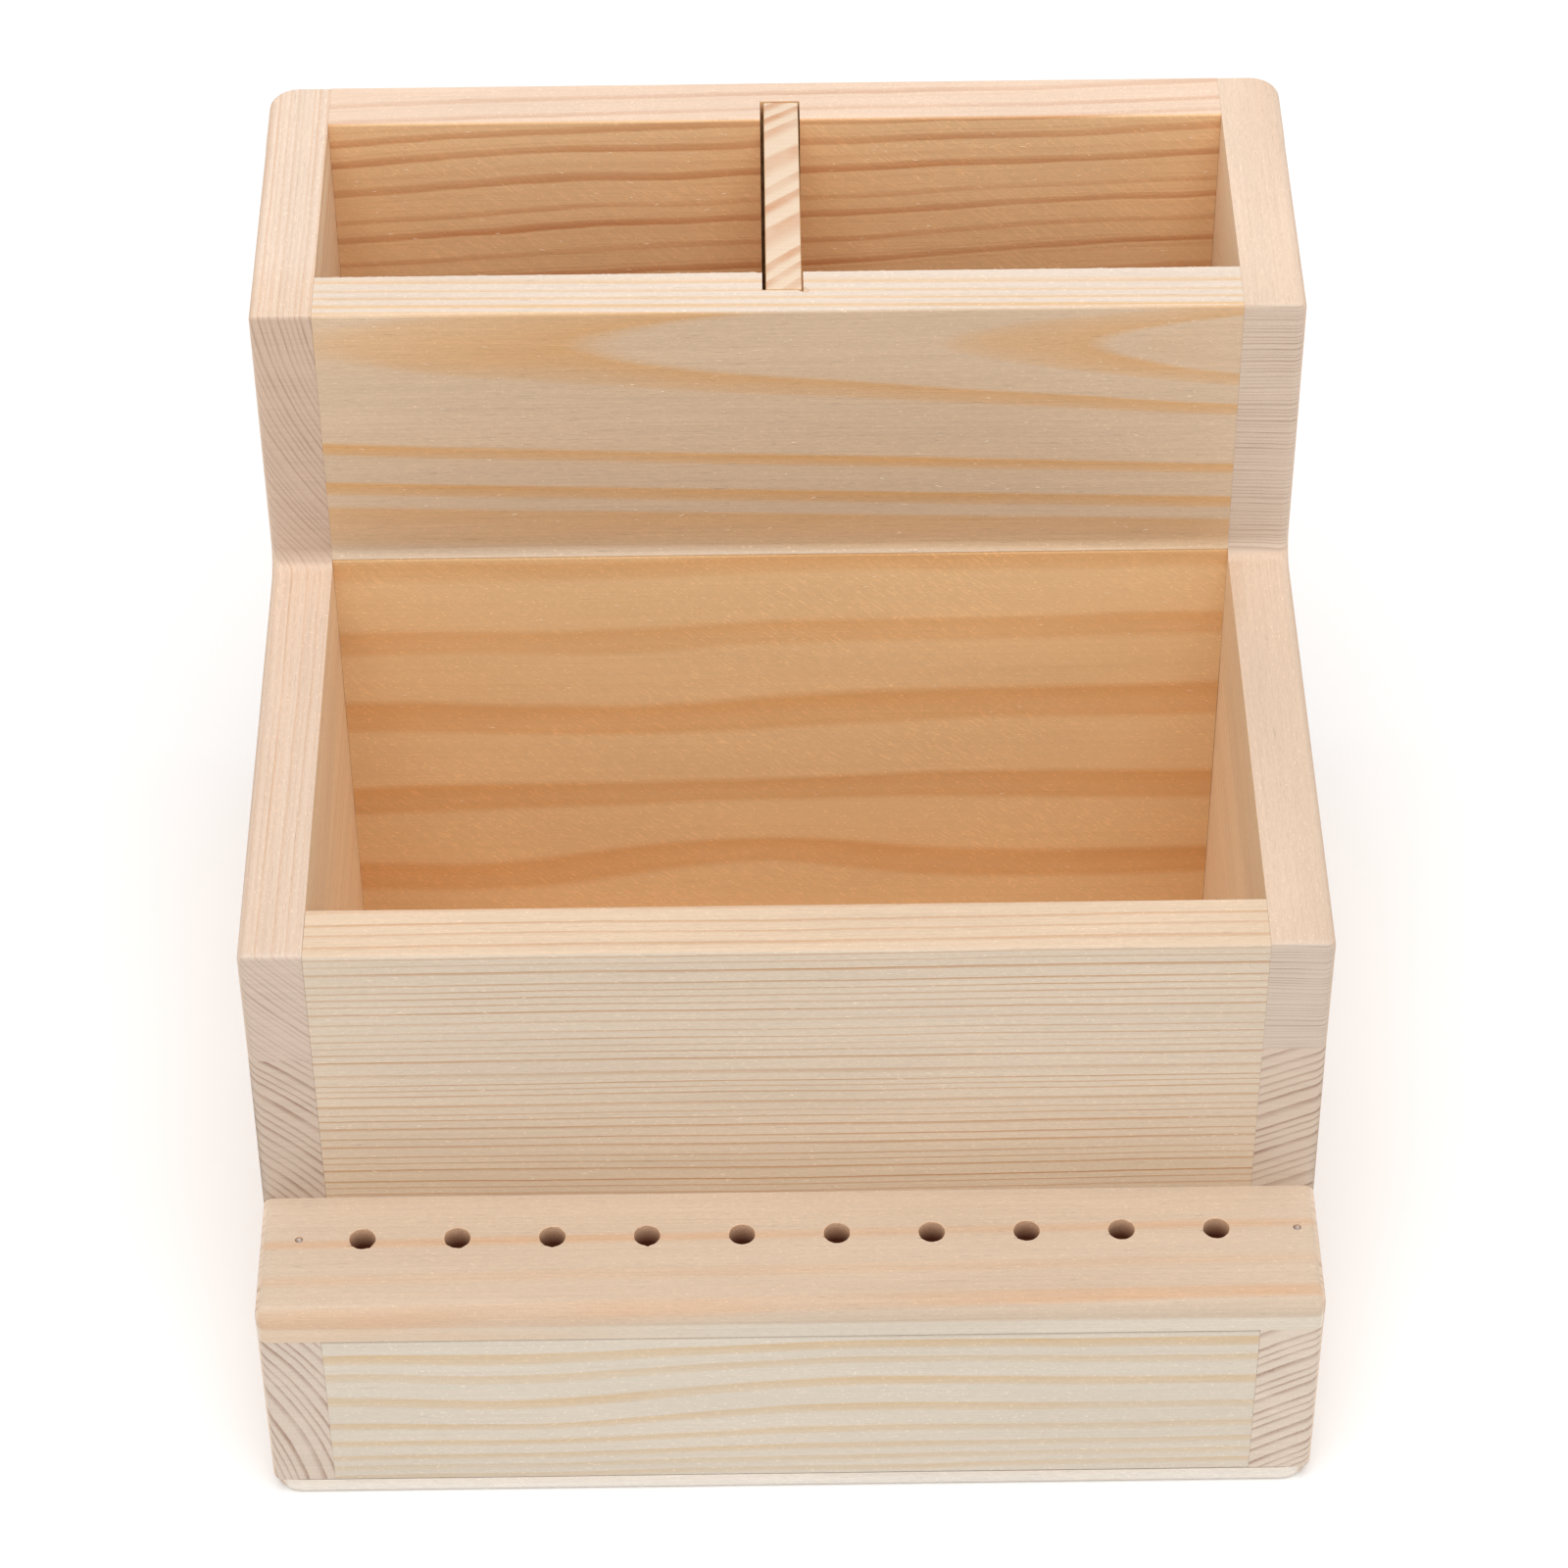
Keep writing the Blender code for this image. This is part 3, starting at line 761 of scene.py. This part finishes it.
def chip(bm, place, size, turn):
    """A small torn-out hollow, long in its own X."""
    matrix = Matrix.Translation(place) @ Matrix.Rotation(turn, 4, "Z") @ Matrix.Diagonal((*size, 1.0))
    made = bmesh.ops.create_icosphere(bm, subdivisions=2, radius=1.0, matrix=matrix)
    for vert in made["verts"]:
        vert.co += smooth_noise(vert.co * 2600.0) * min(size) * 0.35


def chip_cutter():
    """Tear-out beside some of the tool holes, on the side where the drill left the grain."""
    bm = bmesh.new()
    draw = random.Random(33)
    for index in range(HOLE_COUNT):
        x = HOLE_SPAN * (index / (HOLE_COUNT - 1) - 0.5)
        count = 2 if index < 4 else 1
        for number in range(count):
            angle = math.radians(draw.uniform(195, 240) + 70 * number)
            reach = HOLE_RADIUS + draw.uniform(0.0, 0.1) * MM
            place = (x + reach * math.cos(angle), HOLE_Y + reach * math.sin(angle), RAIL_HIGH.z)
            size = (draw.uniform(0.5, 0.95) * MM, draw.uniform(0.18, 0.3) * MM, draw.uniform(0.2, 0.35) * MM)
            chip(bm, place, size, draw.uniform(-0.25, 0.25))
    return add_object("chip_cutter", bm)


def rim_chip_cutter():
    """The corner broken off where the slot meets the middle wall's rim."""
    bm = bmesh.new()
    edge_y = MIDDLE_HIGH.y - GROOVE_DEPTH
    chip(bm, (GROOVE_HIGH_X, edge_y, MIDDLE_HIGH.z), (1.3 * MM, 0.8 * MM, 0.5 * MM), -0.6)
    chip(bm, (GROOVE_LOW_X - 0.3 * MM, MIDDLE_HIGH.y, MIDDLE_HIGH.z), (0.9 * MM, 0.5 * MM, 0.4 * MM), 0.3)
    return add_object("rim_chip_cutter", bm)


# ---------------------------------------------------------------- brads


def brad_axis(node):
    """Where a brad's head is, and the matrix that points local +Z out of the wood."""
    low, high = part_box(node)
    middle = (low + high) / 2
    if node.startswith("left_side"):
        return Matrix.Translation((low.x, middle.y, middle.z)) @ Matrix.Rotation(-math.pi / 2, 4, "Y")
    if node.startswith("right_side"):
        return Matrix.Translation((high.x, middle.y, middle.z)) @ Matrix.Rotation(math.pi / 2, 4, "Y")
    if node.startswith("bottom"):
        return Matrix.Translation((middle.x, middle.y, low.z)) @ Matrix.Rotation(math.pi, 4, "X")
    return Matrix.Translation((middle.x, middle.y, high.z))


def brad_nodes():
    return sorted(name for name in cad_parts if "_brad_" in name)


def brad_length(node):
    low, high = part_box(node)
    return max(high - low)


def build_brads():
    """One piece for all the wire: rounded square bars with hammered, slightly dished heads."""
    draw = random.Random(47)
    bm = bmesh.new()
    names = brad_nodes()
    for node in names:
        length = brad_length(node)
        half = BRAD_HALF
        profile = [
            (half * 0.25, -length),
            (half * 1.02, -length + 2 * MM),
            (half * 1.02, -0.35 * MM),
            (half * 1.16, -0.12 * MM),
            (half * 1.05, -0.02 * MM),
            (half * 0.45, -0.07 * MM),
        ]
        turn = Matrix.Rotation(draw.uniform(0, math.pi), 4, "Z")
        turned(bm, brad_axis(node) @ turn, profile, 12, 0.07, draw)
    brads = add_object("brads", bm)
    settle(brads)
    finish_piece(brads, [steel()], "caddy", "brad_steel", *names)


def brad_hole_cutter():
    """Punched holes a little wider than the wire, ragged where they reach the surface."""
    draw = random.Random(59)
    bm = bmesh.new()
    for node in brad_nodes():
        radius = BRAD_HOLE_RADIUS
        profile = [
            (radius, -brad_length(node) - 0.3 * MM),
            (radius, -0.5 * MM),
            (radius * 1.12, 0.1 * MM),
            (radius * 1.3, 2 * MM),
        ]
        turned(bm, brad_axis(node), profile, 14, 0.05, draw)
    return add_object("brad_hole_cutter", bm, 1)


# ---------------------------------------------------------------- loose fibres


def fibre(bm, place, along, out, length, width, lift):
    """One torn fibre: a thin three-sided blade that bends away from the face."""
    side = along.cross(out).normalized()
    rings = []
    for reach, rise, share in ((0.0, -0.15, 1.0), (0.5, 0.35, 0.8), (0.95, 1.0, 0.25)):
        middle = place + along * length * reach + out * lift * rise
        half = width * share / 2
        corners = (middle - side * half, middle + side * half, middle + out * half * 1.2)
        rings.append([bm.verts.new(corner) for corner in corners])
    for near, far in zip(rings, rings[1:]):
        for index in range(3):
            following = (index + 1) % 3
            bm.faces.new((near[index], near[following], far[following], far[index]))
    bm.faces.new(rings[0])
    bm.faces.new(rings[-1])


def scatter_fibres(bm, draw, count, low, high, along, out):
    """Fibres over the flat region between two corners, lying roughly along a direction."""
    for _ in range(count):
        place = Vector([draw.uniform(low[axis], high[axis]) for axis in range(3)])
        sway = Vector([draw.uniform(-0.35, 0.35) for _ in range(3)])
        direction = Vector(along) * draw.choice((-1, 1)) + sway
        direction -= Vector(out) * direction.dot(Vector(out))
        length = draw.uniform(0.35, 1.3) * MM
        width = draw.uniform(0.05, 0.11) * MM
        lift = draw.uniform(0.03, 0.16) * MM
        fibre(bm, place, direction.normalized(), Vector(out), length, width, lift)


def build_fibres():
    """The fuzz that sawing left on the faces and along the rims."""
    draw = random.Random(71)
    bm = bmesh.new()
    right = (1.0, 0.0, 0.0)
    front = (0.0, -1.0, 0.0)
    rim = (0.0, 0.857, 0.515)
    edge = 2 * MM
    left_x, right_x = LEFT_HIGH.x + edge, RIGHT_LOW.x - edge
    slot_left, slot_right = GROOVE_LOW_X - edge, GROOVE_HIGH_X + edge
    tray_y, tier_y, back_y = TRAY_LOW.y, REAR_TIER_Y, BACK_LOW.y
    lower_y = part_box("middle_wall_lower_plank")[0].y
    top = BACK_HIGH.z
    torn_low = top - 60 * MM
    rim_y, rim_z = MIDDLE_HIGH.y - 0.05 * MM, top - 0.17 * MM
    patches = (
        (150, (left_x, tray_y, RAIL_HIGH.z + MM), (right_x, tray_y, TRAY_HIGH.z - edge), front),
        (120, (left_x, tier_y, STEP_CENTRE[1] + MM), (right_x, tier_y, top - edge), front),
        (90, (left_x, back_y, torn_low), (slot_left, back_y, top - edge), front),
        (90, (slot_right, back_y, torn_low), (right_x, back_y, top - edge), front),
        (90, (left_x, lower_y, 20 * MM), (right_x, lower_y, TRAY_HIGH.z - 3 * MM), front),
        (40, (left_x, rim_y, rim_z), (slot_left, rim_y, rim_z), rim),
        (40, (slot_right, rim_y, rim_z), (right_x, rim_y, rim_z), rim),
    )
    for count, low, high, out in patches:
        scatter_fibres(bm, draw, count, low, high, right, out)
    bmesh.ops.recalc_face_normals(bm, faces=bm.faces)
    fibres = add_object("torn_fibres", bm)
    for vert in fibres.data.vertices:
        vert.co.z = min(vert.co.z, top)
    pale = srgb(250, 236, 214)
    look = wood("loose_fibre", axis=0, pith=(-300, -200), rings=0.1, early=pale, seed=14.0)
    fibres.data.materials.append(look)
    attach(fibres, "caddy")


# ---------------------------------------------------------------- assembly


def build_boards():
    """Make, cut, settle and place every board, with its look and the node that it stands for."""
    grooves = groove_cutter()
    holes = hole_cutter()
    chips = chip_cutter()
    rim_chips = rim_chip_cutter()
    brad_holes = brad_hole_cutter()
    plan = [
        (side_plank("left", True, 1.0), "left_side_lower_plank", "side_pine", "left_lower"),
        (side_plank("left", False, 2.0), "left_side_upper_plank", "side_pine", "left_upper"),
        (side_plank("right", True, 3.0), "right_side_lower_plank", "side_pine", "right_lower"),
        (side_plank("right", False, 4.0), "right_side_upper_plank", "side_pine", "right_upper"),
        (
            cross_board("back_lower", "back_wall_lower_plank", 6.0, drop=GLUE_LINE),
            "back_wall_lower_plank", "tan_pine", "back",
        ),
        (
            cross_board("back_upper", "back_wall_upper_plank", 6.5, drop=2 * GLUE_LINE),
            "back_wall_upper_plank", "tan_pine", "back",
        ),
        (
            cross_board("middle_lower", "middle_wall_lower_plank", 7.0),
            "middle_wall_lower_plank", "tan_pine", "middle_lower",
        ),
        (middle_upper(), "middle_wall_upper_plank", "pale_pine", "middle_upper"),
        (
            cross_board("tray_front", "tray_front_wall", 7.5),
            "tray_front_wall", "pale_pine", "tray_front",
        ),
        (cross_board("front", "front_board", 8.5), "front_board", "pale_pine", "front"),
        (rail(), "holed_rail", "side_pine", "rail"),
        (bottom(), "bottom_board", "pale_pine", "bottom"),
    ]
    looks = board_looks()
    brad_bore = bored("bored_pine")
    # The tool holes get painted shade towards their bottoms.
    shaded_tool_bore = bored("shaded_bored_rail", shade_below=RAIL_LOW.z / MM + 3.2)
    for board, node, slot, look in plan:
        if node.startswith(("back_wall", "middle_wall")):
            carve(board, grooves)
        if node == "middle_wall_upper_plank":
            carve(board, rim_chips)
        if node == "holed_rail":
            carve(board, holes)
            carve(board, chips)
        carve(board, brad_holes)
        settle(board)
        bore = shaded_tool_bore if node == "holed_rail" else brad_bore
        finish_piece(board, [looks[look], bore], "caddy", slot, node)
    loose = divider()
    settle(loose)
    finish_piece(loose, [looks["divider"]], "divider", "end_grain_pine", "divider")
    for cutter in (grooves, holes, chips, rim_chips, brad_holes):
        bpy.data.objects.remove(cutter, do_unlink=True)


def side_looks():
    """Side panels. The tints on X paint light onto the inner faces, and the zones paint light and shade onto
    the front ends and the tiers.
    """
    side = {
        "axis": 1,
        "early": srgb(222, 197, 175),
        "late": srgb(199, 151, 110),
        "end_late": srgb(146, 110, 88),
        "hatch": 0.3,
    }
    # Painted light: the inner faces, which point along X, made lighter.
    left = {"tints": (("X", 0.5, 0.9, (1.36, 1.37, 1.23)),), **side}
    right = {"tints": (("X", -0.5, -0.9, (1.36, 1.40, 1.28)),), **side}
    # Painted light: the front ends of the lower planks made lighter.
    front_end_light = ("Y", -80.0, -100.0, (1.06, 1.10, 1.14))
    return {
        "left_lower": wood(
            "pine_left_lower",
            pith=(-175, -11), spacing=2.0, faint=0.6, end_early=srgb(208, 188, 170),
            end_rings=1.2,
            zones=(front_end_light,),
            seed=1.0,
            **left,
        ),
        "left_upper": wood(
            "pine_left_upper",
            pith=(0, 190), spacing=1.2, rings=0.8, end_early=srgb(214, 187, 165),
            # Painted light and shade: the rear of the plank lighter, the tray level darker and the tray end
            # lighter.
            zones=(
                ("Y", 40.0, 50.0, (1.02, 1.05, 1.09)),
                ("Y", 55.0, 0.0, (0.93, 0.93, 0.94)),
                ("Y", -74.0, -76.0, (1.02, 1.08, 1.14)),
            ),
            seed=2.0,
            **left,
        ),
        "right_lower": wood(
            "pine_right_lower",
            pith=(206, -175), spacing=2.4, faint=0.6, end_early=srgb(214, 194, 175),
            end_rings=1.2,
            zones=(front_end_light,),
            seed=3.0,
            **right,
        ),
        "right_upper": wood(
            "pine_right_upper",
            pith=(80, -300), spacing=0.9, end_early=srgb(220, 199, 180),
            # Painted shade on the tray level, and painted light on the tray end.
            zones=(
                ("Y", 55.0, 0.0, (0.89, 0.88, 0.86)),
                ("Y", -74.0, -76.0, (1.00, 1.03, 1.07)),
            ),
            seed=4.0,
            **right,
        ),
    }


def wall_looks():
    """Back and middle walls."""
    return {
        "back": wood(
            "pine_back",
            axis=0, pith=(-233, -74), drift=(0.0, 0.05), spacing=2.1, thin=True, wave=1.3,
            rings=0.22, steady=0.55, fibre=0.6, hatch=1.2,
            bands=(
                (332.0, -1.2, 0.12, 0.64), (339.5, -1.2, 0.12, 0.56), (345.0, -1.0, 0.12, 0.72),
                (352.4, -1.4, 0.12, 0.64), (358.2, -1.0, 0.12, 0.56), (364.9, -1.3, 0.12, 0.72),
                (370.3, -1.0, 0.12, 0.56), (376.6, -1.4, 0.12, 0.64), (382.0, -1.0, 0.12, 0.64),
                (388.0, -1.1, 0.12, 0.56), (392.1, -1.0, 0.12, 0.72), (395.3, -0.9, 0.12, 0.48),
                (398.8, -1.2, 0.12, 0.80), (401.5, -0.9, 0.12, 0.44), (405.5, -1.3, 0.12, 0.72),
                (409.4, -1.2, 0.12, 0.64), (412.2, -1.1, 0.12, 0.56), (415.3, -1.1, 0.2, 0.72),
                (419.5, -1.3, 0.2, 0.72),
            ),
            top_late=0.55, early=srgb(243, 202, 154), late=srgb(198, 122, 68),
            # Painted light and shade: the top face less orange, the back face a little cooler and darker.
            tints=(
                ("Z", 0.5, 0.85, (0.83, 0.94, 1.30)),
                ("Y", 0.5, 0.85, (0.90, 0.98, 1.10)),
            ),
            seed=5.0,
        ),
        "middle_lower": wood(
            "pine_middle_lower",
            axis=0, pith=(40, -400), drift=(0.0, 0.010), spacing=2.9, rings=0.08, wave=1.8,
            fibre=0.5, steady=0.8, hatch=1.6, flecks=1.3,
            swells=(
                ((-4.0, 38.0, 34.0), (28.0, 60.0, 14.0), 5.0),
                ((35.0, 38.0, 56.0), (50.0, 60.0, 13.0), 3.5),
                ((-24.0, 38.0, 77.0), (38.0, 60.0, 11.0), -2.4),
                ((-60.0, 38.0, 32.0), (22.0, 60.0, 12.0), -1.5),
            ),
            bands=(
                # The band at 519.5 darkens a strip along the top, just under the cove.
                (413.0, 8.0, 0.9, 0.36), (437.2, 8.5, 0.9, 0.60), (458.0, 8.0, 0.9, 0.60),
                (482.6, 9.0, 0.9, 0.58), (501.4, 7.0, 0.9, 0.48), (519.5, 6.0, 1.2, 0.48),
                (406.0, -7.0, 0.9, 0.36), (429.4, -8.5, 0.9, 0.50), (450.6, -8.0, 0.9, 0.50),
                (474.4, -9.0, 0.9, 0.48), (495.2, -7.0, 0.9, 0.38),
            ),
            early=srgb(241, 202, 153), late=srgb(218, 150, 74),
            zones=(("Z", 70.0, 20.0, (1.02, 0.96, 0.9)),),
            seed=6.0,
        ),
        "middle_upper": wood(
            "pine_middle_upper",
            axis=0, pith=(92.5, 172), drift=(-0.0145, -0.012), spacing=3.3, rings=0.12,
            top_rings=0.9, steady=0.75, wave=0.13, hatch=0.3, flecks=1.3,
            bands=(
                (59.09, -0.50, 0.03, 0.60), (60.52, -0.85, 0.04, 0.65), (65.9, -1.3, 0.20, 0.75),
                (70.1, -1.8, 0.20, 0.75), (73.4, -6.5, 0.25, 0.52),
            ),
            early=srgb(212, 186, 158), late=srgb(212, 154, 80),
            # Painted light: the top face made lighter and paler, and the cove at the foot made lighter.
            tints=(("Z", 0.5, 0.85, (1.06, 1.19, 1.43)),),
            zones=(("Z", 124.0, 119.5, (1.06, 1.12, 1.19)),),
            seed=7.0,
        ),
    }


def front_looks():
    """Tray front, front board and rail."""
    return {
        "tray_front": wood(
            "pine_tray_front",
            axis=0, pith=(-300, -200), drift=(0.0, 0.004), spacing=1.75, thin=True, wave=0.5,
            rings=1.0, faint=0.5, top_late=0.8, steady=0.6, hatch=0.2, flecks=0.8,
            early=srgb(211, 193, 172), late=srgb(180, 134, 90),
            # Painted shade: the top face warmer and a little darker. Towards the bottom the board turns
            # warmer and darker, partly its own colour and partly painted shade under the rail with painted
            # warm bounce light.
            tints=(("Z", 0.5, 0.85, (1.03, 0.95, 0.88)),),
            zones=(("Z", 95.0, 55.0, (1.02, 0.97, 0.91)),),
            seed=8.0,
        ),
        "front": wood(
            "pine_front",
            axis=0, pith=(-95, -400), drift=(0.0, 0.012), spacing=2.3, thin=True, wave=1.1,
            rings=0.22, steady=0.6, fibre=0.7, hatch=0.3,
            swells=(
                ((-52.0, -105.0, 26.0), (26.0, 40.0, 12.0), -2.6),
                ((20.0, -105.0, 30.0), (40.0, 40.0, 14.0), 1.8),
            ),
            bands=(
                (406.4, 1.6, 0.15, 0.55), (409.4, 1.6, 0.15, 0.55), (412.8, 1.8, 0.15, 0.65),
                (417.4, 2.0, 0.15, 0.65), (423.2, 2.3, 0.15, 0.75), (430.6, 2.8, 0.18, 0.80),
                (437.0, 2.4, 0.18, 0.65), (442.3, 3.0, 0.2, 0.9),
            ),
            early=srgb(209, 197, 181), late=srgb(203, 171, 127), seed=9.0,
        ),
        "rail": wood(
            "pine_rail",
            axis=0, pith=(300, 49), drift=(0.0125, 0.0), spacing=2.2, rings=0.08, wave=0.4,
            fibre=0.9, hatch=0.5, flecks=0.8,
            bands=((387.4, 2.2, 0.6, 0.5), (396.4, 2.6, 0.7, 0.28), (404.4, 3.0, 0.4, 0.5)),
            early=srgb(203, 182, 160), late=srgb(206, 148, 96),
            # Painted light: the back strip beside the tray wall made lighter against the shade there, and
            # the lower part of the front face made paler.
            zones=(
                ("Y", -88.0, -78.0, (1.12, 1.12, 1.12)),
                ("Z", 49.2, 48.2, (1.10, 1.22, 1.32)),
            ),
            seed=10.0,
        ),
    }


def other_looks():
    """Bottom board and divider."""
    return {
        "bottom": wood(
            "pine_bottom",
            axis=0, pith=(0, -150), spacing=3.0, rings=0.25, early=srgb(230, 222, 211), seed=11.0,
        ),
        "divider": wood(
            "pine_divider",
            axis=2, pith=(129, -85), spacing=5.2, early=srgb(242, 203, 153), wave=1.0, faint=0.5,
            end_early=srgb(224, 201, 176), end_late=srgb(190, 118, 62), end_rings=1.0,
            end_wide=True, seed=12.0,
        ),
    }


def board_looks():
    return {**side_looks(), **wall_looks(), **front_looks(), **other_looks()}


# ---------------------------------------------------------------- stage


def add_floor():
    size = 3.0
    mesh = bpy.data.meshes.new("floor")
    corners = [(-size, -size, 0), (size, -size, 0), (size, size, 0), (-size, size, 0)]
    mesh.from_pydata(corners, [], [(0, 1, 2, 3)])
    floor = bpy.data.objects.new("floor", mesh)
    bpy.context.scene.collection.objects.link(floor)
    g = Graph("pale_floor")
    point = g.add("ShaderNodeTexCoord").outputs["Object"]
    level = g.noise(point, (2.0, 2.0, 2.0), 2.0)
    g.put(g.shader.inputs["Base Color"], g.mix(level, (0.97, 0.97, 0.97, 1.0), (0.99, 0.99, 0.99, 1.0)))
    g.shader.inputs["Roughness"].default_value = 0.9
    g.shader.inputs["Specular IOR Level"].default_value = 0.1
    mesh.materials.append(g.material)


def add_light(name, place, target, size, watts):
    data = bpy.data.lights.new(name, "AREA")
    data.shape = "SQUARE"
    data.size = size
    data.energy = watts
    light = bpy.data.objects.new(name, data)
    light.location = place
    light.rotation_euler = (Vector(target) - Vector(place)).to_track_quat("-Z", "Y").to_euler()
    bpy.context.scene.collection.objects.link(light)


def add_lights():
    world = bpy.data.worlds.new("studio")
    world.use_nodes = True
    background = world.node_tree.nodes["Background"]
    background.inputs["Color"].default_value = (1.0, 1.0, 1.0, 1.0)
    background.inputs["Strength"].default_value = 0.73
    bpy.context.scene.world = world
    middle = (0.0, 0.0, 0.1)
    add_light("overhead_softbox", (0.0, -0.3, 1.3), middle, size=1.0, watts=9.4)
    add_light("front_softbox", (0.0, -1.2, 1.1), middle, size=1.0, watts=1.6)


def add_camera():
    """A long lens above the front, tilted down, with the small turn and roll of a hand-held one."""
    data = bpy.data.cameras.new("camera")
    data.sensor_width = 36.0
    data.lens = 116.81
    camera = bpy.data.objects.new("camera", data)
    place = Matrix.Translation((-0.00324, -0.7209, 0.77912))
    turn = Matrix.Rotation(math.radians(-0.271), 4, "Z")
    tilt = Matrix.Rotation(math.radians(46.192), 4, "X")
    roll = Matrix.Rotation(math.radians(-0.531), 4, "Z")
    camera.matrix_world = place @ turn @ tilt @ roll
    bpy.context.scene.collection.objects.link(camera)
    bpy.context.scene.camera = camera


add_camera()
add_lights()
add_floor()
build_boards()
build_brads()
build_fibres()
bpy.context.scene.view_settings.view_transform = "Standard"
